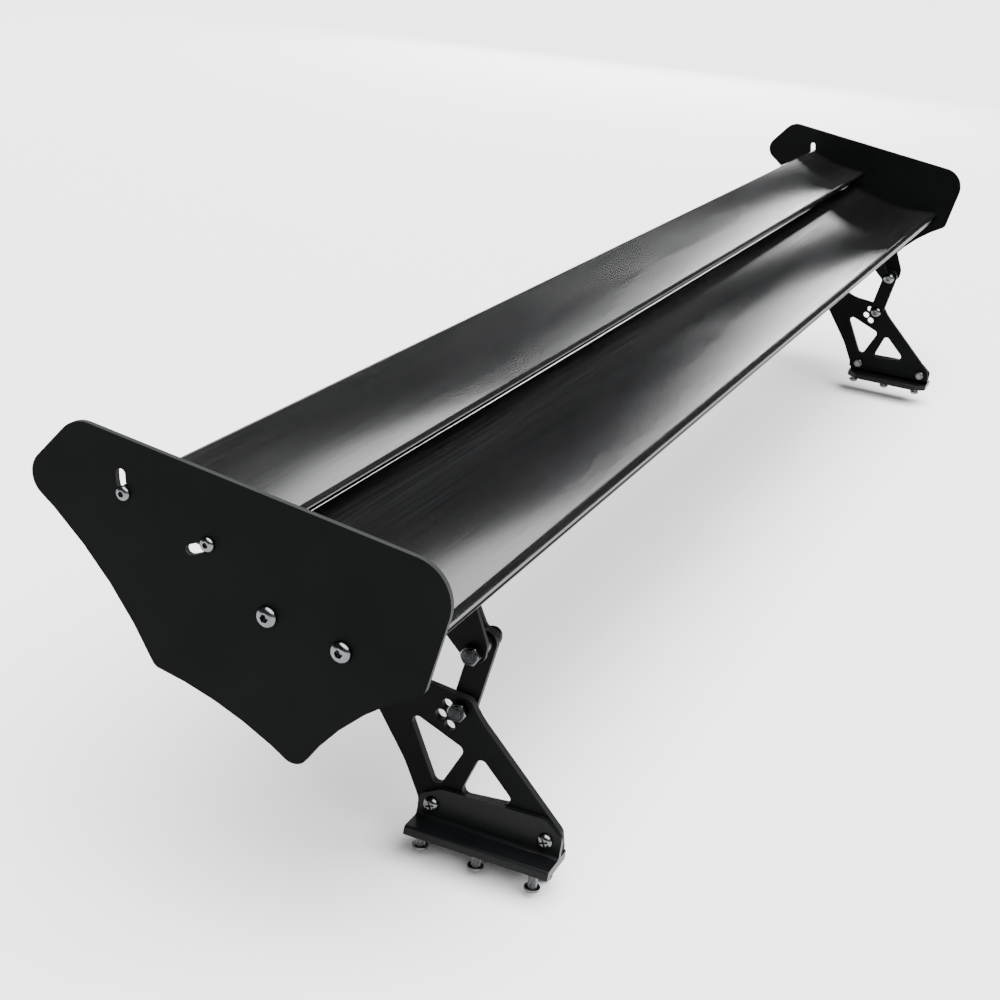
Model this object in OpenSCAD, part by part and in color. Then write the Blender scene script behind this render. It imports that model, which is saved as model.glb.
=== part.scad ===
// Racing rear wing: two-element aluminium wing with end plates on two folded-foot legs.
// Millimetres. +X points to the front of the car, +Y to its left, +Z up.
// The origin is midway between the feet, on the boot lid, at the middle row of lid screws.

/* [Wing] */
// Span over the outer faces of the end plates
span = 1350; // [1150:10:1500]
// Height of the main wing's nose centre above the boot lid
wing_h = 161.6; // [150:0.5:200]
// Main wing: distance from nose centre to trailing edge
main_run = 94.5; // [85:0.5:125]
// Main wing: nose radius
main_nose_r = 4.5; // [4:0.1:6]
// Main wing: incidence of its chord, trailing edge up
main_incidence = 9.9; // [6:0.1:14]
// Main wing: depth of the hollow in its upper face
main_sag = 6.6; // [3:0.1:9]
// Main wing: how much its belly adds to the thickness at mid chord
main_belly = 2; // [0:0.1:4]
// Main wing: distances of its two end screws behind the nose centre
main_screws = [26.9, 65.9];
// Rear wing: distance from nose centre to the trailing bead
rear_run = 58.9; // [52:0.1:75]
// Rear wing: nose radius
rear_nose_r = 3; // [2.6:0.1:4]
// Rear wing: incidence of its chord, trailing edge up
rear_incidence = 13.65; // [8:0.05:20]
// Rear wing: depth of the hollow in its upper face
rear_sag = 2.8; // [1:0.1:5]
// Rear wing: distance of its front end screw behind the nose centre
rear_screw = 12.6; // [10:0.1:18]
// Gap between the main wing's trailing edge and the rear wing's nose
flap_gap = 8.4; // [7:0.1:14]
// How far the rear wing's nose reaches forward over the main trailing edge
flap_overlap = 8; // [4:0.5:14]
// Skin thickness of both extrusions
skin = 1.8; // [1.4:0.1:2]

/* [End plates] */
// Thickness of an end plate
plate_t = 3; // [2:0.5:5]
// Height of the slot centre above the rear wing's front screw
slot_rise = 24.8; // [22:0.1:28]
// Distance of the slot centre behind the rear wing's front screw
slot_set_back = 20.4; // [17:0.1:23]
// Tilt that the slots allow, trailing edge up from rest, in degrees
slot_sweep = 19; // [14:1:22]
// Extra radius of the slots round their screws
slot_play = 0.6; // [0.3:0.1:0.8]

/* [Brackets] */
// Distance between the centre planes of the two legs
leg_spacing = 1081.2; // [700:0.2:1120]
// Thickness of a leg plate
leg_t = 5; // [4:0.5:8]
// Thickness of an arm link
arm_t = 4; // [3:0.5:6]
// Width of an arm link
arm_w = 14; // [12:0.5:18]
// Thickness of the saddle's sheet
saddle_t = 3; // [2:0.5:5]
// Radius of the circle of angle holes
ring_r = 6.5; // [6.2:0.1:8]
// Number of angle holes
ring_count = 4; // [3:1:5]
// Angle between neighbouring angle holes
ring_step = 72; // [66:1:72]

/* [Feet] */
// Length of a foot along the car
foot_l = 85; // [80:1:120]
// Width of a foot across the car
foot_w = 35; // [34:1:50]
// Thickness of the foot's plate
foot_t = 5.5; // [4:0.5:8]
// Height of the foot's upright web above the boot lid
web_h = 26.5; // [24:0.5:32]
// Thickness of the upright web
web_t = 3; // [2:0.5:5]
// Distance between lid screws along the car
lid_pitch = 33.5; // [28:0.5:36]
// Distance between the two rows of lid screws
lid_gauge = 19; // [18:0.5:24]

/* [Fasteners] */
// Shank diameter of the wing, pivot and saddle screws
m_big = 6; // [5:0.5:8]
// Shank diameter of the foot and lid screws
m_foot = 5; // [4:0.5:6]
// Shank diameter of the rear wing's slot screws
m_slot = 4; // [3:0.5:5]
// Extra radius of a clearance hole
clear_gap = 0.3; // [0.2:0.05:0.6]
// Extra radius of a tapped or running hole
run_gap = 0.05; // [0.03:0.01:0.1]

/* [Hidden] */
$fn = 48;
face_gap = 0.1;    // between faces that rub
body_gap = 0.3;    // between bodies that only pass each other
m_big_r = m_big / 2;
m_foot_r = m_foot / 2;
m_slot_r = m_slot / 2;
nut_w = 10;        // across flats
nut_t = 5;
big_head = [5.4, 3.3];    // radius and height of a button head
foot_head = [4.5, 3];
slot_head = [3.8, 2.4];

// Wings. Section coordinates are [x, z] in the part's own frame.
main_nose = [-5.5, wing_h];
main_trail_t = 2.4;
main_te = main_nose + [-main_run, main_nose_r + main_run * tan(main_incidence)];
boss_r = m_big_r + 2;
bead_r = m_slot_r + 1.5;
rear_boss_r = m_slot_r + 1.8;
rear_trail_t = 2.6;
rear_nose = [main_te.x + flap_overlap, main_te.y + flap_gap + rear_nose_r];
wing_half = span / 2 - plate_t;
rear_half = wing_half - body_gap;
section_steps = 24;

// T-slots under the main wing
rail_z = main_nose.y - 13.6;
rail_x = [main_nose.x - 30.5, main_nose.x - 56.5];
rail_w = 20;
rail_lip = 2.2;
t_slot_w = 13.6;
t_slot_h = 4.8;
t_mouth_w = m_big + 2.4;

// Points that both the wings and the plates use
function arch(s) = 4 * s * (1 - s);
function main_top(t) = main_nose_r + t * tan(main_incidence) - main_sag * arch(t / main_run);
function rear_top(t) = rear_nose_r + t * tan(rear_incidence) - rear_sag * arch(t / rear_run);
function main_boss(t) = main_nose + [-t, main_top(t) - boss_r - 0.05];
rear_bead = rear_nose + [-rear_run, rear_top(rear_run) - bead_r];
rear_front = rear_nose + [-rear_screw, rear_top(rear_screw) - rear_boss_r - 0.2];
tilt_axis = rear_front + [-slot_set_back, slot_rise];

// Brackets, on the [x, z] plane of the leg
leg_y = leg_spacing / 2;
hub = [-32.5, wing_h - 91.6];
ring = hub + [3.4, -0.8];
ring_start = 48;
arm_low = ring + ring_r * [cos(ring_start), sin(ring_start)];
arm_top = hub + [15.5, 44];
pivot = hub + [-47.5, 42];
pivot_boss_r = 10.5;
arm_in = leg_t / 2 + body_gap;
ear_out = leg_t / 2 + nut_t + 1.9;
ear_in = arm_in + arm_t + big_head.y + 0.4;
foot_mid = leg_t / 2;
foot_x = [-0.5 - foot_l / 2, -0.5 + foot_l / 2];
leg_foot_z = foot_t + 3.5;
foot_screw_z = leg_foot_z + 5.5;
foot_screw_x = [-34, 33.3];
leg_rise = hub.y - foot_t;
window_r = min(3.5, 0.06 * leg_rise);    // the windows narrow as the leg gets lower
lid_rows = [foot_mid + lid_gauge / 2, foot_mid - lid_gauge / 2];
lid_mid = -2;            // middle screws of both rows
tap_depth = foot_t - 1;
// Right foot: loosely started screws. From the foot's underside to the middle screw's head,
// and how much lower each next screw hangs towards the front.
loose_lengths = [12, 16];
loose_hang = [9.6, 14];
loose_step = [1.5, 0];
// Left foot: the screws are driven nearly home.
home_lengths = [6, 6];
home_hang = [2.5, 2.5];
home_step = [0, 0];

// ---- Outline helpers: a corner is [x, z, radius] ----

function unit(v) = v / norm(v);
function flat(p) = [p.x, p.y];

// Points of the arc that rounds corner b between its neighbours a and c.
function corner(a, b, c, r) =
    r == 0 ? [b] :
    let (
        u = unit(a - b),
        v = unit(c - b),
        half = acos(u * v) / 2,
        centre = b + unit(u + v) * r / sin(half),
        p = b + u * r / tan(half) - centre,
        q = b + v * r / tan(half) - centre,
        start = atan2(p.y, p.x),
        turn = (atan2(q.y, q.x) - start + 540) % 360 - 180,
        steps = max(2, ceil(abs(turn) / 9))
    )
    [for (i = [0:steps]) centre + r * [cos(start + turn * i / steps), sin(start + turn * i / steps)]];

function rounded(corners) =
    let (n = len(corners))
    [for (i = [0:n - 1]) each corner(
        flat(corners[(i + n - 1) % n]), flat(corners[i]), flat(corners[(i + 1) % n]), corners[i].z)];

// Points between p and q on a shallow curve that stands h to the left of the line.
function bowed(p, q, h, steps = 5) =
    let (side = unit([p.y - q.y, q.x - p.x]))
    [for (i = [1:steps - 1]) let (m = p + (q - p) * i / steps + side * h * arch(i / steps)) [m.x, m.y, 0]];

function fixed(p, r) = [p.x, p.y, r];

// ---- Placing helpers ----

module on_left() {
    mirror([0, 1, 0])
        children();
}

// Draws in the leg's [x, z] plane, u outboard of its centre; heights go outboard.
module at_u(u) {
    translate([0, -leg_y - u, 0])
        rotate([90, 0, 0])
            children();
}

module at_plate(y) {
    translate([0, -y, 0])
        rotate([90, 0, 0])
            children();
}

// ---- Fasteners: bearing face at z = 0, head above it, shank below ----

module dome(head) {
    rise = 0.72 * head.y;
    rotate_extrude()
        polygon(concat(
            [[0, 0], [head.x, 0]],
            [for (i = [0:8]) [head.x * cos(i * 7.5), head.y - rise + rise * sin(i * 7.5) / sin(60)]],
            [[0, head.y]]));
}

module socket_screw(shank_r, len, head) {
    difference() {
        union() {
            dome(head);
            translate([0, 0, -len])
                cylinder(r = shank_r, h = len + 0.5);
        }
        translate([0, 0, head.y * 0.35])
            cylinder(r = head.x * 0.42, h = head.y, $fn = 6);
    }
}

module cross_screw(shank_r, len, head) {
    difference() {
        union() {
            dome(head);
            translate([0, 0, -len])
                cylinder(r = shank_r, h = len + 0.5);
        }
        for (turn = [0, 90])
            rotate(turn + 20)
                translate([-head.x * 0.55, -head.x * 0.12, head.y * 0.4])
                    cube([head.x * 1.1, head.x * 0.24, head.y]);
    }
}

module nut(bore_r, w = nut_w, t = nut_t) {
    difference() {
        intersection() {
            cylinder(r = w / 2 / cos(30), h = t, $fn = 6);
            dome_cap(w, t);
        }
        translate([0, 0, -1])
            cylinder(r = bore_r, h = t + 2);
    }
}

// Cone that bevels a nut's outer corners.
module dome_cap(w, t) {
    corner_r = w / 2 / cos(30);
    rotate_extrude()
        polygon([[0, 0], [corner_r + 0.1, 0], [corner_r + 0.1, t - 0.7], [w / 2 * 0.95, t], [0, t]]);
}

module tube(outer_r, inner_r, len) {
    difference() {
        cylinder(r = outer_r, h = len);
        translate([0, 0, -1])
            cylinder(r = inner_r, h = len + 2);
    }
}

// ---- Wings ----

function main_thick(t) =
    let (s = t / main_run)
    2 * main_nose_r * (1 - pow(s, 3)) + main_trail_t * pow(s, 3) + main_belly * sin(180 * s);

function rear_thick(t) =
    let (s = t / rear_run)
    2 * rear_nose_r * (1 - s) + rear_trail_t * s + 3.4 * sin(180 * pow(s, 0.6));

// Band between a depth below the upper face and a height above the lower face.
module main_band(from, to, inset) {
    ts = [for (i = [0:section_steps]) from + (to - from) * i / section_steps];
    translate(main_nose)
        polygon(concat(
            [for (t = ts) [-t, main_top(t) - inset]],
            [for (i = [section_steps:-1:0]) [-ts[i], main_top(ts[i]) - main_thick(ts[i]) + inset]]));
}

module rear_band(from, to, inset) {
    ts = [for (i = [0:section_steps]) from + (to - from) * i / section_steps];
    translate(rear_nose)
        polygon(concat(
            [for (t = ts) [-t, rear_top(t) - inset]],
            [for (i = [section_steps:-1:0]) [-ts[i], rear_top(ts[i]) - rear_thick(ts[i]) + inset]]));
}

// Rail that carries a T-slot, its mouth facing down.
module rail_block(x) {
    t = main_nose.x - x;
    translate([x - rail_w / 2, rail_z])
        square([rail_w, main_nose.y + main_top(t) - main_thick(t) + skin - rail_z]);
}

module t_slot(x) {
    translate([x - t_mouth_w / 2, rail_z - 1])
        square([t_mouth_w, rail_lip + 2]);
    translate([x - t_slot_w / 2, rail_z + rail_lip])
        square([t_slot_w, t_slot_h]);
}

module main_section() {
    difference() {
        union() {
            difference() {
                union() {
                    main_band(0, main_run, 0);
                    translate(main_nose)
                        circle(main_nose_r);
                    translate(main_te - [0, main_trail_t / 2])
                        circle(main_trail_t / 2);
                }
                main_band(0.02 * main_run, 0.84 * main_run, skin);
            }
            for (t = main_screws)
                translate(main_boss(t))
                    circle(boss_r);
            for (x = rail_x)
                rail_block(x);
        }
        for (t = main_screws)
            translate(main_boss(t))
                circle(m_big_r + run_gap);
        for (x = rail_x)
            t_slot(x);
    }
}

module main_wing() {
    color("#26282b")
        translate([0, wing_half, 0])
            rotate([90, 0, 0])
                linear_extrude(2 * wing_half)
                    main_section();
}

module rear_section() {
    difference() {
        union() {
            difference() {
                union() {
                    rear_band(0, rear_run, 0);
                    translate(rear_nose)
                        circle(rear_nose_r);
                }
                rear_band(0.03 * rear_run, 0.7 * rear_run, 0.85 * skin);
            }
            translate(rear_front)
                circle(rear_boss_r);
            translate(rear_bead)
                circle(bead_r);
        }
        for (p = [rear_front, rear_bead])
            translate(p)
                circle(m_slot_r + run_gap);
    }
}

module rear_wing() {
    color("#2b2d30")
        translate([0, rear_half, 0])
            rotate([90, 0, 0])
                linear_extrude(2 * rear_half)
                    rear_section();
}

// ---- End plates ----

// Point at a given angle from p about the tilt axis, trailing edge up being positive.
function tilted(p, a) =
    let (d = p - tilt_axis)
    tilt_axis + [d.x * cos(a) + d.y * sin(a), d.y * cos(a) - d.x * sin(a)];

// Point out from the arc that p follows, and on along it, where the tilt is a.
function slot_point(p, a, out, on) =
    let (q = tilted(p, a), d = unit(q - tilt_axis))
    q + out * d + on * [d.y, -d.x];

module tilt_slot(p) {
    w = m_slot_r + slot_play;
    low = -0.5;
    high = slot_sweep;
    sweep = [for (i = [0:16]) low + (high - low) * i / 16];
    caps = [for (i = [1:9]) w * [cos(18 * i), sin(18 * i)]];
    polygon(concat(
        [for (a = sweep) slot_point(p, a, w, 0)],
        [for (c = caps) slot_point(p, high, c.x, c.y)],
        [for (i = [16:-1:0]) slot_point(p, sweep[i], -w, 0)],
        [for (c = caps) slot_point(p, low, -c.x, -c.y)]));
}

module plate_outline() {
    top_front = main_nose + [28.3, 51.1];
    top_rear = rear_bead + [-29.1, 30.6];
    rear_tip = rear_bead + [-57.9, -3.4];
    knee = main_te + [-30.5, -58.5];
    low_tip = main_nose + [-45.1, -68.5];
    front_low = main_nose + [15.6, -10.2];
    polygon(rounded(concat(
        [fixed(top_front, 21), fixed(top_rear, 15.5), fixed(rear_tip, 13)],
        bowed(rear_tip, knee, 6.5),
        [fixed(knee, 6)],
        bowed(knee, low_tip, 4.6),
        [fixed(low_tip, 8)],
        bowed(low_tip, front_low, 6.2),
        [fixed(front_low, 6)])));
}

module end_plate() {
    color("#1c1d1f")
        at_plate(wing_half)
            linear_extrude(plate_t)
                difference() {
                    plate_outline();
                    for (t = main_screws)
                        translate(main_boss(t))
                            circle(m_big_r + clear_gap);
                    for (p = [rear_front, rear_bead])
                        tilt_slot(p);
                }
}

module wing_screws() {
    color("#6f7276")
        for (t = main_screws)
            at_plate(span / 2)
                translate(main_boss(t))
                    socket_screw(m_big_r, 20, big_head);
}

module slot_screws() {
    color("#6f7276")
        for (p = [rear_front, rear_bead])
            at_plate(span / 2 + face_gap)
                translate(p)
                    socket_screw(m_slot_r, 16, slot_head);
}

// ---- Saddle under the main wing ----

// The inboard ear is cut back at the front, to clear the bolt's head from above.
module ear_outline(cut_back) {
    top = rail_z;
    front = cut_back ?
        [[arm_top.x - 18, top, 0], [arm_top.x - 3, arm_top.y + 5.2, 6],
         [arm_top.x + 5.6, arm_top.y + 3, 4], [arm_top.x + 5.4, arm_top.y - 5.6, 5]] :
        [[arm_top.x - 4.6, top, 0], [arm_top.x + 7.6, arm_top.y + 6, 8],
         [arm_top.x + 6.6, arm_top.y - 7.2, 6.5]];
    polygon(rounded(concat(front, [
        [arm_top.x - 4, arm_top.y - 5.2, 4.5], [arm_top.x - 24, arm_top.y + 13.5, 14],
        [pivot.x + 15, pivot.y + 21, 12], [pivot.x + 10, pivot.y - 9.5, 9],
        [pivot.x - 10, pivot.y - 9.5, 9], [pivot.x - 13, top, 0]])));
}

module saddle() {
    front = arm_top.x - 7;
    rear = pivot.x - 13;
    color("#202225")
        difference() {
            union() {
                at_u(ear_out)
                    linear_extrude(saddle_t)
                        ear_outline(false);
                at_u(-ear_in - saddle_t)
                    linear_extrude(saddle_t)
                        ear_outline(true);
                translate([rear, -leg_y - ear_out - saddle_t, rail_z - saddle_t])
                    cube([front - rear, ear_in + ear_out + 2 * saddle_t, saddle_t]);
            }
            for (p = [arm_top, pivot])
                at_u(-ear_in - saddle_t - 1)
                    translate(p)
                        cylinder(r = m_big_r + clear_gap, h = ear_in + ear_out + 2 * saddle_t + 2);
            for (x = rail_x)
                translate([x, -leg_y, rail_z - saddle_t - 1])
                    cylinder(r = m_big_r + clear_gap, h = saddle_t + 2);
        }
}

module saddle_screws() {
    color("#6f7276")
        for (x = rail_x)
            translate([x, -leg_y, rail_z - saddle_t])
                mirror([0, 0, 1])
                    socket_screw(m_big_r, saddle_t + rail_lip + t_slot_h - 0.4, big_head);
}

module slot_nuts() {
    side = t_slot_w - 0.6;
    height = t_slot_h - 0.6;
    color("#8a8d90")
        for (x = rail_x)
            difference() {
                translate([x - side / 2, -leg_y - side / 2, rail_z + rail_lip])
                    cube([side, side, height]);
                translate([x, -leg_y, rail_z])
                    cylinder(r = m_big_r + run_gap, h = rail_lip + t_slot_h + 2);
            }
}

// ---- Arm link and its fasteners ----

module arm() {
    reach = norm(arm_top - arm_low);
    lean = atan2(arm_top.y - arm_low.y, arm_top.x - arm_low.x);
    color("#202225")
        at_u(-arm_in - arm_t)
            difference() {
                union() {
                    for (p = [arm_low, arm_top])
                        translate(p)
                            cylinder(r = arm_w / 2, h = arm_t);
                    translate(arm_low)
                        rotate(lean)
                            translate([0, -arm_w / 2, 0])
                                cube([reach, arm_w, arm_t]);
                }
                translate([arm_low.x, arm_low.y, -1])
                    cylinder(r = m_big_r + clear_gap, h = arm_t + 2);
                translate([arm_top.x, arm_top.y, -1])
                    cylinder(r = m_big_r + run_gap, h = arm_t + 2);
            }
}

// Through bolt of a saddle joint: head on the inboard ear, nut on the outboard ear.
module ear_bolt(p) {
    color("#6f7276")
        at_u(-ear_in - saddle_t)
            translate(p)
                mirror([0, 0, 1])
                    socket_screw(m_big_r, ear_in + ear_out + 2 * saddle_t + nut_t + 1, big_head);
}

module ear_nut(p) {
    color("#7a7d80")
        at_u(ear_out + saddle_t)
            translate(p)
                nut(m_big_r + run_gap);
}

module spacer(p, from, to) {
    color("#55585b")
        at_u(from)
            translate(p)
                tube(m_big_r + 2, m_big_r + clear_gap, to - from);
}

module arm_spacers() {
    spacer(arm_top, -arm_in + face_gap, ear_out);
    spacer(arm_top, -ear_in, -arm_in - arm_t - face_gap);
}

module pivot_spacers() {
    spacer(pivot, leg_t / 2 + face_gap, ear_out);
    spacer(pivot, -ear_in, -leg_t / 2 - face_gap);
}

// The lower bolt ends flush with the arm; its far end stays in the leg with the nut.
module arm_low_bolt() {
    color("#6f7276")
        at_u(-arm_in - arm_t)
            translate(arm_low)
                mirror([0, 0, 1])
                    socket_screw(m_big_r, arm_t, big_head);
}

module arm_low_nut() {
    color("#7a7d80") {
        at_u(leg_t / 2)
            translate(arm_low)
                nut(m_big_r + run_gap);
        at_u(-leg_t / 2)
            translate(arm_low)
                cylinder(r = m_big_r, h = leg_t + nut_t + 1);
    }
}

// ---- Legs and feet ----

module leg_outline() {
    difference() {
        polygon(rounded([
            [-43.6, leg_foot_z, 0], [-43.6, leg_foot_z + 5, 8], [-54, foot_t + 29, 60],
            [pivot.x - 10.5, pivot.y - 26, 24],
            [pivot.x - pivot_boss_r, pivot.y + pivot_boss_r, pivot_boss_r],
            [pivot.x + pivot_boss_r, pivot.y + pivot_boss_r, pivot_boss_r],
            [pivot.x + 12, pivot.y - 19, 12], [hub.x - 20, hub.y + 15, 30],
            [hub.x + 13.6, hub.y + 11.2, 5], [hub.x + 19.5, hub.y + 2, 40],
            [foot_x[1] - 1.6, foot_t + 14.5, 5], [foot_x[1] + 0.4, leg_foot_z, 0]]));
        polygon(rounded([
            [hub.x - 23, hub.y - 4, window_r], [hub.x + 13.3, hub.y - 18.7, window_r],
            [-33.5, foot_t + 16.2, window_r]]));
        polygon(rounded([
            [-10.2, hub.y - 19.3, window_r], [-20, foot_t + 0.279 * leg_rise, window_r],
            [14, foot_t + 0.3333 * leg_rise, window_r]]));
    }
}

module leg() {
    color("#202225")
        at_u(-leg_t / 2)
            difference() {
                linear_extrude(leg_t)
                    leg_outline();
                for (i = [0:ring_count - 1])
                    translate([ring.x, ring.y, -1])
                        rotate(ring_start + ring_step * i)
                            translate([ring_r, 0, 0])
                                cylinder(r = m_big_r + clear_gap - 0.1, h = leg_t + 2);
                translate([pivot.x, pivot.y, -1])
                    cylinder(r = m_big_r + run_gap, h = leg_t + 2);
                for (x = foot_screw_x)
                    translate([x, foot_screw_z, -1])
                        cylinder(r = m_foot_r + clear_gap, h = leg_t + 2);
            }
}

// Cross-section of the foot: plate below, web standing on the outboard face of the leg.
module foot_profile() {
    inner = foot_mid;
    outer = foot_mid + web_t;
    low = foot_mid - foot_w / 2;
    high = foot_mid + foot_w / 2;
    polygon(rounded([
        [low, 0, 0], [high, 0, 0], [high, foot_t, 1.5], [outer, foot_t, 2],
        [outer, web_h + 2, 0], [inner, web_h + 2, 0], [inner, foot_t, 0], [low, foot_t, 1]]));
}

module foot_side() {
    polygon(rounded([
        [foot_x[0], 0, 0], [foot_x[1], 0, 0], [foot_x[1] + 0.6, foot_screw_z + 3.5, 4],
        [32, web_h + 0.4, 7], [-29, web_h - 1.4, 7], [foot_x[0] + 1.5, foot_screw_z + 4, 4]]));
}

module foot_plan() {
    cut = 10;
    low = foot_mid - foot_w / 2;
    high = foot_mid + foot_w / 2;
    polygon([
        [foot_x[0], -high], [foot_x[1] + 1, -high], [foot_x[1] + 1, -low - cut],
        [foot_x[1] - cut, -low], [foot_x[0] + cut, -low], [foot_x[0], -low - cut]]);
}

module foot() {
    color("#23262b")
        difference() {
            intersection() {
                translate([-foot_l, -leg_y, 0])
                    rotate([90, 0, 90])
                        linear_extrude(2 * foot_l)
                            mirror([1, 0])
                                foot_profile();
                at_u(-foot_w)
                    linear_extrude(2 * foot_w)
                        foot_side();
                translate([0, -leg_y, -1])
                    linear_extrude(web_h + 4)
                        foot_plan();
            }
            for (x = foot_screw_x)
                at_u(0)
                    translate([x, foot_screw_z, 0])
                        cylinder(r = m_foot_r + clear_gap, h = foot_w);
            for (u = lid_rows, i = [-1:1])
                translate([lid_mid + i * lid_pitch, -leg_y - u, -1])
                    cylinder(r = m_foot_r + run_gap, h = tap_depth + 1);
        }
}

module foot_screws() {
    color("#8f9296")
        for (x = foot_screw_x)
            at_u(leg_t / 2 + web_t)
                translate([x, foot_screw_z])
                    cross_screw(m_foot_r, leg_t + web_t + 5, foot_head);
}

module foot_nuts() {
    color("#7a7d80")
        for (x = foot_screw_x)
            at_u(-leg_t / 2)
                translate([x, foot_screw_z])
                    mirror([0, 0, 1])
                        nut(m_foot_r + run_gap, 8, 4);
}

module lid_screws(lengths, hang, step) {
    color("#8f9296")
        for (row = [0, 1], i = [-1:1])
            translate([lid_mid + i * lid_pitch, -leg_y - lid_rows[row], -hang[row] - i * step[row]])
                mirror([0, 0, 1])
                    cross_screw(m_foot_r, lengths[row], foot_head);
}

main_wing();
rear_wing();
on_left() end_plate();  // end_plate_left
end_plate();  // end_plate_right
on_left() wing_screws();  // wing_screws_left
wing_screws();  // wing_screws_right
on_left() slot_screws();  // slot_screws_left
slot_screws();  // slot_screws_right
on_left() saddle();  // saddle_left
saddle();  // saddle_right
on_left() saddle_screws();  // saddle_screws_left
saddle_screws();  // saddle_screws_right
on_left() slot_nuts();  // slot_nuts_left
slot_nuts();  // slot_nuts_right
on_left() arm();  // arm_left
arm();  // arm_right
on_left() ear_bolt(arm_top);  // arm_top_bolt_left
ear_bolt(arm_top);  // arm_top_bolt_right
on_left() ear_nut(arm_top);  // arm_top_nut_left
ear_nut(arm_top);  // arm_top_nut_right
on_left() arm_spacers();  // arm_spacers_left
arm_spacers();  // arm_spacers_right
on_left() arm_low_bolt();  // arm_low_bolt_left
arm_low_bolt();  // arm_low_bolt_right
on_left() arm_low_nut();  // arm_low_nut_left
arm_low_nut();  // arm_low_nut_right
on_left() ear_bolt(pivot);  // pivot_bolt_left
ear_bolt(pivot);  // pivot_bolt_right
on_left() ear_nut(pivot);  // pivot_nut_left
ear_nut(pivot);  // pivot_nut_right
on_left() pivot_spacers();  // pivot_spacers_left
pivot_spacers();  // pivot_spacers_right
on_left() leg();  // leg_left
leg();  // leg_right
on_left() foot();  // foot_left
foot();  // foot_right
on_left() foot_screws();  // foot_screws_left
foot_screws();  // foot_screws_right
on_left() foot_nuts();  // foot_nuts_left
foot_nuts();  // foot_nuts_right
on_left() lid_screws(home_lengths, home_hang, home_step);  // lid_screws_left
lid_screws(loose_lengths, loose_hang, loose_step);  // lid_screws_right
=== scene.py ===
import math

import bpy
import numpy as np
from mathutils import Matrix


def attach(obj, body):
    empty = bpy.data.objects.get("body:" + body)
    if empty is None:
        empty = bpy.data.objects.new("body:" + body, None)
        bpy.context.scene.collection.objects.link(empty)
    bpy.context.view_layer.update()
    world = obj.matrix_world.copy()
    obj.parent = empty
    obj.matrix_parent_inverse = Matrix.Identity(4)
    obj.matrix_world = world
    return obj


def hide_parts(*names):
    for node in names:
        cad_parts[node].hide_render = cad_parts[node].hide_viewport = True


# %% [markdown]
# # Racing rear wing
# A two-element aluminium wing, 1.35 m over its end plates. Its two legs stand on a boot lid.
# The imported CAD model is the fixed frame. The two wings are made again here as fine surfaces,
# because their long gloss reflections show any facet. Screws and nuts get the small things
# that catch light: threads and the round collars of lock nuts. Lengths are in metres.

# %% Load the frame
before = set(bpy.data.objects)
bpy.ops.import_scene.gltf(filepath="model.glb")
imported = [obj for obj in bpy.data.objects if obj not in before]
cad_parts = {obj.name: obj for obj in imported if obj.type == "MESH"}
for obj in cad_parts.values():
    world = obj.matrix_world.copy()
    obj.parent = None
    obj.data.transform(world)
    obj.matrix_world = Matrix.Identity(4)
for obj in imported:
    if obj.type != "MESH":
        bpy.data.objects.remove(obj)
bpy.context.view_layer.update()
MM = 0.001

# %% [markdown]
# ## Finishes
# Each finish is a shader built from noise in object coordinates, so it needs no image and no UVs.
# A small bump and an uneven roughness keep the gloss from looking like plastic.

# %% Helpers that build a material


def start(name):
    """An empty node material with a Principled shader and object coordinates."""
    mat = bpy.data.materials.new(name)
    mat.use_nodes = True
    nodes = mat.node_tree.nodes
    shader = nodes["Principled BSDF"]
    place = nodes.new("ShaderNodeTexCoord")
    return mat, nodes, mat.node_tree.links, shader, place


def noise(nodes, links, place, scale, stretch=(1, 1, 1), detail=4):
    """Noise over object coordinates, squeezed or stretched along each axis."""
    spread = nodes.new("ShaderNodeMapping")
    spread.inputs["Scale"].default_value = stretch
    grain = nodes.new("ShaderNodeTexNoise")
    grain.inputs["Scale"].default_value = scale
    grain.inputs["Detail"].default_value = detail
    links.new(place.outputs["Object"], spread.inputs["Vector"])
    links.new(spread.outputs["Vector"], grain.inputs["Vector"])
    return grain.outputs["Fac"]


def ramp(nodes, links, source, low_value, high_value, start_at=0.3, end_at=0.7):
    """A value or colour that goes from low_value to high_value as the source rises."""
    node = nodes.new("ShaderNodeValToRGB")
    ends = node.color_ramp.elements
    for end, value, at in ((ends[0], low_value, start_at), (ends[1], high_value, end_at)):
        end.position = at
        end.color = (*value, 1) if isinstance(value, tuple) else (value, value, value, 1)
    links.new(source, node.inputs["Fac"])
    return node.outputs["Color"]


def bump(nodes, links, shader, source, strength, depth):
    """Turns a height from 0 to 1 into a shallow relief, depth being in metres."""
    node = nodes.new("ShaderNodeBump")
    node.inputs["Strength"].default_value = strength
    node.inputs["Distance"].default_value = depth
    links.new(source, node.inputs["Height"])
    links.new(node.outputs["Normal"], shader.inputs["Normal"])


def mixed(nodes, links, factor, a, b):
    """Colour a where the factor is 0 and colour b where it is 1."""
    node = nodes.new("ShaderNodeMix")
    node.data_type = "RGBA"
    links.new(factor, node.inputs["Factor"])
    for socket, value in ((6, a), (7, b)):
        if isinstance(value, tuple):
            node.inputs[socket].default_value = (*value, 1)
        else:
            links.new(value, node.inputs[socket])
    return node.outputs[2]


# %% [markdown]
# The wings are extruded aluminium, brushed along the span and anodised a deep gloss black.
# The dye leaves the metal's own mirror sheen, so the shader is a dark metal. Its roughness
# runs in fine lines along the span, as drawing through a die and brushing leave it. Faces grow
# darker as their normal turns from up to sideways, and faces that point sideways or down are near
# black with a dimmed grazing reflection: painted shade that keeps them from mirroring the pale
# floor.

# %% Anodised wing skin


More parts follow.
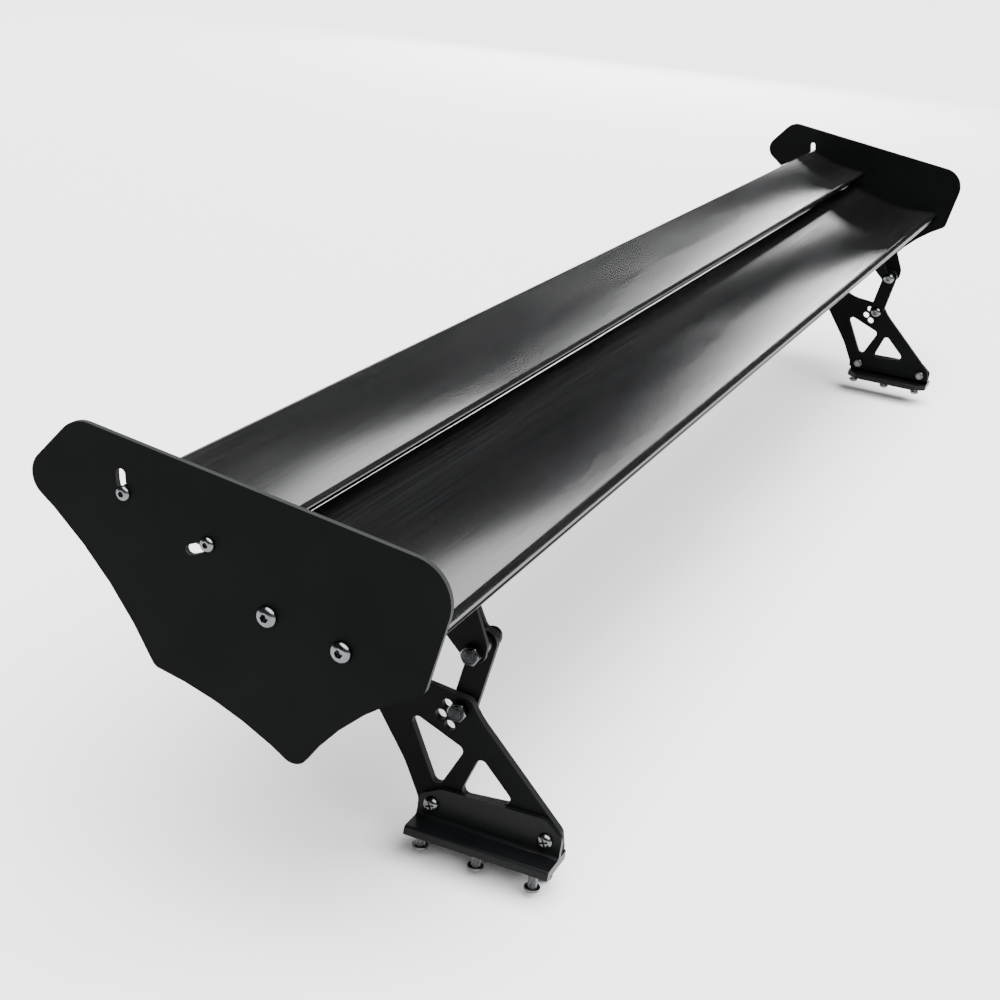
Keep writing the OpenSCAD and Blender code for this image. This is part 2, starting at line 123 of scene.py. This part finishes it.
def anodised(name, dark, light):
    mat, nodes, links, shader, place = start(name)
    lines = noise(nodes, links, place, 900, (1, 0.012, 1), 3)
    clouds = noise(nodes, links, place, 7, (1, 0.3, 1), 2)
    split = nodes.new("ShaderNodeSeparateXYZ")
    links.new(place.outputs["Normal"], split.inputs["Vector"])
    # Factor 1 on upward faces, falling to 0 on sideways and downward faces, where shade is painted.
    above = ramp(nodes, links, split.outputs["Z"], 0.0, 1.0, 0.02, 0.6)
    top_tone = ramp(nodes, links, clouds, dark, light)
    # Sideways and downward faces get a near black colour in place of the metal's: painted shade.
    tone = mixed(nodes, links, above, (0.02, 0.02, 0.021), top_tone)
    links.new(tone, shader.inputs["Base Color"])
    # Their grazing reflection is dimmed too: painted shade, so the undersides don't mirror the
    # floor.
    painted_shade_grazing_tint = mixed(nodes, links, above, (0.35, 0.35, 0.35), (1.0, 1.0, 1.0))
    links.new(painted_shade_grazing_tint, shader.inputs["Specular Tint"])
    links.new(ramp(nodes, links, lines, 0.18, 0.24), shader.inputs["Roughness"])
    shader.inputs["Metallic"].default_value = 1.0
    shader.inputs["Anisotropic"].default_value = 0.3
    bump(nodes, links, shader, lines, 0.03, 0.000015)
    return mat


main_skin = anodised("anodised_main", (0.25, 0.25, 0.255), (0.3, 0.3, 0.305))
rear_skin = anodised("anodised_rear", (0.27, 0.272, 0.275), (0.33, 0.332, 0.335))
print("wing skins:", main_skin.name, rear_skin.name)

# %% [markdown]
# End plates, legs, arms and saddles are cut from sheet and powder coated satin black.
# The cut edges get a lighter colour: a painted highlight, standing for the bright surroundings
# they mirror, that shows them as thin grey lines. A face belongs to a cut edge when its normal
# doesn't point along the car's width, so the shader tells them apart by that.

# %% Black sheet with a painted highlight on the cut edges


def coated(name, dark, light, edge, rough, grain_scale=1400):
    mat, nodes, links, shader, place = start(name)
    clouds = noise(nodes, links, place, 22, (1, 1, 1), 3)
    grain = noise(nodes, links, place, grain_scale, (1, 1, 1), 2)
    body = ramp(nodes, links, clouds, dark, light)
    split = nodes.new("ShaderNodeSeparateXYZ")
    links.new(place.outputs["Normal"], split.inputs["Vector"])
    square = nodes.new("ShaderNodeMath")
    square.operation = "MULTIPLY"
    links.new(split.outputs["Y"], square.inputs[0])
    links.new(split.outputs["Y"], square.inputs[1])
    # Faces across the sheet's width are cut edges and take the edge colour, a painted highlight.
    edge_highlight_mask = ramp(nodes, links, square.outputs["Value"], 1.0, 0.0, 0.25, 0.8)
    links.new(mixed(nodes, links, edge_highlight_mask, body, edge), shader.inputs["Base Color"])
    links.new(ramp(nodes, links, grain, rough - 0.06, rough + 0.06), shader.inputs["Roughness"])
    shader.inputs["Specular IOR Level"].default_value = 0.03
    bump(nodes, links, shader, grain, 0.12, 0.00005)
    return mat


# The third colour of each coat is the painted highlight on its cut edges.
plate_coat = coated(
    "plate_coat", (0.0012, 0.0014, 0.0014), (0.002, 0.0023, 0.0023), (0.025, 0.026, 0.027), 0.5)
leg_coat = coated(
    "leg_coat", (0.0016, 0.0018, 0.0018), (0.0026, 0.0029, 0.0029), (0.01, 0.0102, 0.0105), 0.46)
arm_coat = coated(
    "arm_coat", (0.0014, 0.0015, 0.0016), (0.0023, 0.0024, 0.0026), (0.008, 0.0082, 0.0085), 0.42)
saddle_coat = coated(
    "saddle_coat", (0.0016, 0.0018, 0.0018), (0.0026, 0.0029, 0.0029), (0.01, 0.0102, 0.0105), 0.46)
print("sheet coats:", plate_coat.name, leg_coat.name, arm_coat.name, saddle_coat.name)

# %% [markdown]
# The feet are pieces of aluminium angle, coated a little smoother than the sheet.

# %% Foot coat


def smooth_coat(name, dark, light, rough):
    mat, nodes, links, shader, place = start(name)
    clouds = noise(nodes, links, place, 30, (1, 1, 1), 3)
    lines = noise(nodes, links, place, 700, (0.05, 1, 1), 2)
    links.new(ramp(nodes, links, clouds, dark, light), shader.inputs["Base Color"])
    links.new(ramp(nodes, links, lines, rough - 0.05, rough + 0.05), shader.inputs["Roughness"])
    shader.inputs["Specular IOR Level"].default_value = 0.1
    bump(nodes, links, shader, lines, 0.08, 0.00004)
    return mat


foot_coat = smooth_coat("foot_coat", (0.0018, 0.002, 0.0022), (0.003, 0.0033, 0.0036), 0.34)
print("foot coat:", foot_coat.name)

# %% [markdown]
# Screws and nuts are steel. The heads are polished and blackened, the T-slot nuts zinc plated.
# Handling leaves faint smudges in the gloss, which a soft noise in the roughness gives.

# %% Steel for fasteners


def steel(name, dark, light, rough, relief=0.05):
    mat, nodes, links, shader, place = start(name)
    smudges = noise(nodes, links, place, 260, (1, 1, 1), 4)
    tone = noise(nodes, links, place, 90, (1, 1, 1), 2)
    links.new(ramp(nodes, links, tone, dark, light), shader.inputs["Base Color"])
    links.new(ramp(nodes, links, smudges, rough - 0.05, rough + 0.07), shader.inputs["Roughness"])
    shader.inputs["Metallic"].default_value = 1.0
    bump(nodes, links, shader, smudges, relief, 0.00003)
    return mat


dark_steel = steel("dark_steel", (0.085, 0.088, 0.094), (0.14, 0.144, 0.15), 0.18)
slot_steel = steel("slot_steel", (0.09, 0.093, 0.098), (0.15, 0.154, 0.16), 0.2)
nut_steel = steel("nut_steel", (0.075, 0.077, 0.08), (0.13, 0.133, 0.138), 0.2)
zinc = steel("zinc_steel", (0.38, 0.385, 0.39), (0.52, 0.525, 0.53), 0.24)
pan_steel = steel("pan_steel", (0.07, 0.072, 0.075), (0.14, 0.143, 0.148), 0.17)
spacer_steel = steel("spacer_steel", (0.05, 0.051, 0.053), (0.09, 0.092, 0.095), 0.3)
nylon_mat, nylon_nodes, nylon_links, nylon_shader, nylon_place = start("nut_collar")
nylon_tone = noise(nylon_nodes, nylon_links, nylon_place, 300)
nylon_links.new(
    ramp(nylon_nodes, nylon_links, nylon_tone, (0.01, 0.0104, 0.0108), (0.022, 0.0226, 0.0232)),
    nylon_shader.inputs["Base Color"])
nylon_links.new(
    ramp(nylon_nodes, nylon_links, nylon_tone, 0.22, 0.34), nylon_shader.inputs["Roughness"])
nylon_shader.inputs["Metallic"].default_value = 1.0
bump(nylon_nodes, nylon_links, nylon_shader, nylon_tone, 0.06, 0.00003)
print("fastener steels ready")

# %% [markdown]
# ## Which finish each CAD piece gets
# Cut sheet also gets a fine bevel, because a real edge is never knife sharp and its
# bevel is what draws the thin bright lines.

# %% Finish the CAD pieces

FINISHES = {
    "end_plate": (plate_coat, 0.35), "saddle": (saddle_coat, 0.3), "leg": (leg_coat, 0.35),
    "arm": (arm_coat, 0.3), "foot": (foot_coat, 0.3),
    "wing_screws": (dark_steel, 0.12), "slot_screws": (slot_steel, 0.1),
    "saddle_screws": (dark_steel, 0.12), "slot_nuts": (zinc, 0.1),
    "arm_top_bolt": (dark_steel, 0.12), "arm_top_nut": (nut_steel, 0.12),
    "arm_spacers": (spacer_steel, 0.1),
    "arm_low_bolt": (dark_steel, 0.12), "arm_low_nut": (nut_steel, 0.12),
    "pivot_bolt": (dark_steel, 0.12), "pivot_nut": (nut_steel, 0.12),
    "pivot_spacers": (spacer_steel, 0.1),
    "foot_screws": (pan_steel, 0.1), "foot_nuts": (spacer_steel, 0.1),
    "lid_screws": (pan_steel, 0.1),
}


def soften(obj, width):
    """Welds split corners, bevels sharp edges and evens out the normals."""
    weld = obj.modifiers.new("weld", "WELD")
    weld.merge_threshold = 0.000002
    edge = obj.modifiers.new("bevel", "BEVEL")
    edge.width = width * MM
    edge.segments = 2
    edge.limit_method = "ANGLE"
    edge.angle_limit = math.radians(32)
    edge.use_clamp_overlap = True
    even = obj.modifiers.new("normals", "WEIGHTED_NORMAL")
    even.keep_sharp = True


for stem, (finish, width) in FINISHES.items():
    for side in ("left", "right"):
        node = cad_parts[f"{stem}_{side}"]
        node.data.materials.clear()
        node.data.materials.append(finish)
        soften(node, width)
print(len(FINISHES) * 2, "CAD pieces finished")

# %% [markdown]
# ## The wings
# Each wing is one constant extruded section, cut to length. The section is a hollow camber line
# with a round nose. It is made here with the CAD's own formula at a much finer step.

# %% Helpers that make surfaces


def finish_mesh(name, points, faces, material, sharp=30):
    mesh = bpy.data.meshes.new(name)
    mesh.from_pydata(points.tolist(), [], faces)
    mesh.update()
    mesh.materials.append(material)
    mesh.shade_smooth()
    mesh.set_sharp_from_angle(angle=math.radians(sharp))
    obj = bpy.data.objects.new(name, mesh)
    bpy.context.scene.collection.objects.link(obj)
    print(name, len(mesh.polygons), "faces")
    return obj


def extruded(name, outline, half, material, stations=16):
    """A closed outline in x and z, repeated at even steps of y, with a flat cap at each end."""
    count = len(outline)
    ys = np.linspace(-half, half, stations)
    points = np.empty((stations, count, 3))
    points[:, :, 0] = outline[:, 0]
    points[:, :, 1] = ys[:, None]
    points[:, :, 2] = outline[:, 1]
    ring = np.arange(count)
    after = (ring + 1) % count
    base = (np.arange(stations - 1) * count)[:, None]
    quads = np.stack([base + ring, base + after, base + count + after, base + count + ring], -1)
    faces = quads.reshape(-1, 4).tolist()
    faces.append(ring[::-1].tolist())
    faces.append((ring + (stations - 1) * count).tolist())
    return finish_mesh(name, points.reshape(-1, 3), faces, material)


def arc(centre, radius, start_deg, end_deg, count):
    angle = np.radians(np.linspace(start_deg, end_deg, count))
    return np.stack([centre[0] + radius * np.cos(angle), centre[1] + radius * np.sin(angle)], -1)


def arch(s):
    return 4 * s * (1 - s)


# %% [markdown]
# The main wing carries two T-slot rails below, for the saddles' nuts. They run the whole span.

# %% Main wing

MAIN_NOSE = np.array([-5.5, 161.6])
MAIN_R, MAIN_RUN, MAIN_SAG = 4.5, 94.5, 6.6
MAIN_TAIL, MAIN_BELLY = 2.4, 2
MAIN_RISE = math.tan(math.radians(9.9))
MAIN_HALF = 0.672    # half the length, in metres
RAIL_X, RAIL_HALF, RAIL_DROP = (-36, -62), 10, 13.6
MOUTH_HALF, MOUTH_LIP, SLOT_HALF, SLOT_TOP = 4.2, 2.2, 6.8, 7


def main_top(t):
    return MAIN_R + t * MAIN_RISE - MAIN_SAG * arch(t / MAIN_RUN)


def main_under(t):
    s = t / MAIN_RUN
    thickness = 2 * MAIN_R * (1 - s**3) + MAIN_TAIL * s**3 + MAIN_BELLY * np.sin(np.pi * s)
    return main_top(t) - thickness


def rail(x):
    """Corners of one T-slot rail, from its front to its rear: block, mouth and slot."""
    z = MAIN_NOSE[1] - RAIL_DROP
    root = MAIN_NOSE[0] - x
    half = [
        [RAIL_HALF, MAIN_NOSE[1] + main_under(root - RAIL_HALF) - z], [RAIL_HALF, 0],
        [MOUTH_HALF, 0], [MOUTH_HALF, MOUTH_LIP], [SLOT_HALF, MOUTH_LIP], [SLOT_HALF, SLOT_TOP]]
    other = [[-a, b] for a, b in half[::-1]]
    other[-1][1] = MAIN_NOSE[1] + main_under(root + RAIL_HALF) - z
    return np.array(half + other) + [x, z]


def main_outline():
    """The upper face is a straight chord less a parabola, and the lower face is that less
    a thickness which falls with the cube of the distance. A circle closes each end."""
    t = np.linspace(MAIN_RUN, 0, 120)
    top = np.stack([MAIN_NOSE[0] - t, MAIN_NOSE[1] + main_top(t)], -1)
    nose = arc(MAIN_NOSE, MAIN_R, 90, -90, 32)[1:-1]
    parts = [top, nose]
    begin = 0
    for x in RAIL_X:
        end = MAIN_NOSE[0] - x - RAIL_HALF
        t = np.linspace(begin, end, 24)
        parts.append(np.stack([MAIN_NOSE[0] - t, MAIN_NOSE[1] + main_under(t)], -1)[:-1])
        parts.append(rail(x))
        begin = end + 2 * RAIL_HALF
    t = np.linspace(begin, MAIN_RUN, 40)[1:]
    parts.append(np.stack([MAIN_NOSE[0] - t, MAIN_NOSE[1] + main_under(t)], -1))
    tail = top[0] - [0, MAIN_TAIL / 2]
    parts.append(arc(tail, MAIN_TAIL / 2, 270, 90, 12)[1:-1])
    return np.concatenate(parts)


main_wing = extruded("main_wing_skin", main_outline() * MM, MAIN_HALF, main_skin)
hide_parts("main_wing")
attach(main_wing, "wing_frame")

# %% [markdown]
# The rear wing's trailing edge is a round bead that holds the rear slot screw's thread.

# %% Rear wing

REAR_R, REAR_RUN, REAR_SAG = 3.0, 58.9, 2.8
REAR_TAIL, REAR_BELLY = 2.6, 3.4
REAR_OVERLAP, REAR_GAP = 8, 8.4
REAR_RISE = math.tan(math.radians(13.65))
MAIN_TE_TOP = MAIN_R + MAIN_RUN * MAIN_RISE
REAR_NOSE = MAIN_NOSE + [REAR_OVERLAP - MAIN_RUN, MAIN_TE_TOP + REAR_GAP + REAR_R]
REAR_HALF = 0.6717    # half the length, in metres
BEAD_R = 3.5


def rear_top(t):
    return REAR_R + t * REAR_RISE - REAR_SAG * arch(t / REAR_RUN)


def rear_under(t):
    s = t / REAR_RUN
    thickness = 2 * REAR_R * (1 - s) + REAR_TAIL * s + REAR_BELLY * np.sin(np.pi * s**0.6)
    return rear_top(t) - thickness


def rear_outline():
    """As the main wing, with a thickness that peaks ahead of the middle. The lower face
    stops where it meets the bead's circle."""
    t = np.linspace(REAR_RUN, 0, 100)
    top = np.stack([REAR_NOSE[0] - t, REAR_NOSE[1] + rear_top(t)], -1)
    nose = arc(REAR_NOSE, REAR_R, 90, -90, 28)[1:-1]
    bead = top[0] - [0, BEAD_R]
    t = np.linspace(0, REAR_RUN, 400)
    under = np.stack([REAR_NOSE[0] - t, REAR_NOSE[1] + rear_under(t)], -1)
    outside = np.hypot(*(under - bead).T) > BEAD_R
    under = under[outside][::4]
    meet = math.degrees(math.atan2(*(under[-1] - bead)[::-1]))
    tail = arc(bead, BEAD_R, meet % 360, 90, 40)[1:-1]
    return np.concatenate([top, nose, under, tail])


rear_wing = extruded("rear_wing_skin", rear_outline() * MM, REAR_HALF, rear_skin)
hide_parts("rear_wing")
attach(rear_wing, "rear_element")

# %% [markdown]
# ## Small things on the fasteners
# The lid screws hang below the feet, so their threads show. A lock nut has a round collar
# above its hexagon, pressed over a nylon ring. Both are turned surfaces.

# %% Threads and collars


def revolved(profile, centre, out, steps=40):
    """A profile of radius and height, turned about the line through centre along out."""
    out = np.array(out, float)
    side = np.cross(out, [0.3, 0.2, 0.9])
    side /= np.linalg.norm(side)
    other = np.cross(out, side)
    angle = np.linspace(0, 2 * np.pi, steps, endpoint=False)[:, None]
    radius, height = np.array(profile, float).T
    spin = np.cos(angle)[..., None] * side + np.sin(angle)[..., None] * other
    return np.array(centre) + radius[None, :, None] * spin + height[None, :, None] * out


def thread(centre, out, radius, length, pitch, steps=36):
    """A rod whose radius rises and falls in a triangle wave. The wave's phase goes once round
    per turn, so its crests form a helix. The ridges fade out at both ends."""
    per_turn = 8
    rows = int(length / pitch * per_turn)
    height = np.linspace(0, length, rows)[None, :]
    angle = np.linspace(0, 2 * np.pi, steps, endpoint=False)[:, None]
    phase = (height / pitch - angle / (2 * np.pi)) % 1
    ridge = np.abs(phase - 0.5) * 2
    fade = np.clip(np.minimum(height, length - height) / (0.5 * pitch), 0, 1)
    reach = radius * (1.004 + 0.07 * ridge * fade)
    out = np.array(out, float)
    side = np.cross(out, [0.3, 0.9, 0.2])
    side /= np.linalg.norm(side)
    other = np.cross(out, side)
    spin = np.cos(angle)[..., None] * side + np.sin(angle)[..., None] * other
    return np.array(centre) + reach[..., None] * spin + height[..., None] * out


def grids(name, sheets, material, sharp=40):
    """Several grids that close round their first direction, joined into one object."""
    points, faces, base = [], [], 0
    for sheet in sheets:
        rows, cols = sheet.shape[:2]
        ring = np.arange(rows)[:, None] * cols
        after = (np.arange(rows)[:, None] + 1) % rows * cols
        col = np.arange(cols - 1)[None, :]
        quads = np.stack([ring + col, after + col, after + col + 1, ring + col + 1], -1) + base
        faces += quads.reshape(-1, 4).tolist()
        points.append(sheet.reshape(-1, 3))
        base += rows * cols
    return finish_mesh(name, np.concatenate(points), faces, material, sharp)


LEG_Y = 540.6
HUB = np.array([-32.5, 70.0])
LOW_ANGLE = math.radians(48)
ARM_LOW = HUB + [3.4, -0.8] + 6.5 * np.array([math.cos(LOW_ANGLE), math.sin(LOW_ANGLE)])
ARM_TOP = HUB + [15.5, 44]
PIVOT = HUB + [-47.5, 42]
NUT_FACES = ((ARM_LOW, 7.5), (ARM_TOP, 17.4), (PIVOT, 17.4))
COLLAR = [(4.55, -0.02), (4.6, 0.25), (4.45, 0.62), (4.1, 0.84), (3.7, 0.9),
          (3.32, 0.78), (3.12, 0.6), (3.06, 0.95), (2.7, 1.12), (0.02, 1.14)]

LID_PITCH, LID_MID, LID_R, THREAD_PITCH = 33.5, -2, 2.5, 0.8
HANGING = [(12, 9.6, 1.5), (-7, 14.0, 0.0)]    # each row's offset, hang and step
screws = [
    thread(((i * LID_PITCH + LID_MID) * MM, -(LEG_Y + row) * MM, -(hang + step * i) * MM),
           (0, 0, 1), LID_R * MM, (hang + step * i - 0.1) * MM, THREAD_PITCH * MM)
    for row, hang, step in HANGING for i in (-1, 0, 1)]
threads = grids("lid_threads_right", screws, pan_steel)
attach(threads, "wing_frame")

for side, sign in (("left", 1), ("right", -1)):
    turned = np.array(COLLAR) * MM
    rings = [
        revolved(turned, (p[0] * MM, sign * (LEG_Y + y) * MM, p[1] * MM), (0, sign, 0))
        for p, y in NUT_FACES]
    collars = grids(f"nut_collars_{side}", rings, nylon_mat)
    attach(collars, "wing_frame")

# %% [markdown]
# ## Studio
# A pale floor, a soft light from overhead, and soft lights beyond the far end. The wide low
# one lays the white bands along the two upper faces. The high one to the side carries them on
# to the near end, and the smallest picks out the far trailing edge.

# %% Floor and lights

bpy.ops.mesh.primitive_plane_add(size=60, location=(0, 0, -0.0185))
floor = bpy.context.object
floor.name = "studio_floor"
floor_mat, floor_nodes, floor_links, floor_shader, floor_place = start("studio_floor")
floor_shader.inputs["Base Color"].default_value = (0.9, 0.9, 0.9, 1)
floor_shader.inputs["Roughness"].default_value = 0.9
floor_shader.inputs["Specular IOR Level"].default_value = 0.1
floor.data.materials.append(floor_mat)


def soft_light(name, place, aim, width, height, power):
    lamp = bpy.data.lights.new(name, "AREA")
    lamp.shape = "RECTANGLE"
    lamp.size, lamp.size_y = width, height
    lamp.energy = power
    obj = bpy.data.objects.new(name, lamp)
    bpy.context.scene.collection.objects.link(obj)
    obj.location = place
    way = np.array(aim, float) - np.array(place, float)
    flat_length = math.hypot(way[0], way[1])
    heading = math.atan2(way[1], way[0]) - math.pi / 2
    obj.rotation_euler = (math.atan2(flat_length, -way[2]), 0, heading)
    return obj


soft_light("far_low", (-1.2, 3.1, 0.54), (-0.1, 0.0, 0.2), 1.3, 0.58, 25)
soft_light("far_high", (-0.19, 3.1, 0.93), (-0.1, 0.6, 0.2), 0.12, 0.16, 0.35)
soft_light("near_streak", (-1.53, 2.3, 1.44), (-0.05, -0.6, 0.18), 0.85, 0.85, 4.5)
soft_light("front_fill", (2.6, -2.2, 1.4), (0, -0.4, 0.1), 1.6, 1.2, 5)

key = bpy.data.lights.new("overhead", "SUN")
key.energy = 14
key.angle = math.radians(80)
overhead = bpy.data.objects.new("overhead", key)
overhead.rotation_euler = (math.radians(14), math.radians(16), 0)
bpy.context.scene.collection.objects.link(overhead)

world = bpy.data.worlds.new("studio")
bpy.context.scene.world = world
world.use_nodes = True
world.node_tree.nodes["Background"].inputs["Color"].default_value = (0.9, 0.95, 1.0, 1)
world.node_tree.nodes["Background"].inputs["Strength"].default_value = 0.035

# %% [markdown]
# ## Camera
# The camera stands off the near right corner, looking down along the wing, and is tipped a
# little to one side, so the wing runs up the frame from the lower left.

# %% Camera

TURN, DROP, ROLL = (math.radians(v) for v in (21.07, 20.98, 6.51))
ahead = np.array([
    -math.sin(TURN) * math.cos(DROP), math.cos(TURN) * math.cos(DROP), -math.sin(DROP)])
level = np.array([math.cos(TURN), math.sin(TURN), 0])
right = level * math.cos(ROLL) + np.cross(level, ahead) * math.sin(ROLL)
up = np.cross(right, ahead)
lens = bpy.data.cameras.new("camera")
lens.lens = 62.4
lens.sensor_width = 36
camera = bpy.data.objects.new("camera", lens)
bpy.context.scene.collection.objects.link(camera)
pose = np.eye(4)
pose[:3, 0], pose[:3, 1], pose[:3, 2] = right, up, -ahead
pose[:3, 3] = (0.279, -1.3075, 0.5111)
camera.matrix_world = pose.T.tolist()
bpy.context.scene.camera = camera
print("camera at", [round(v, 3) for v in camera.location])
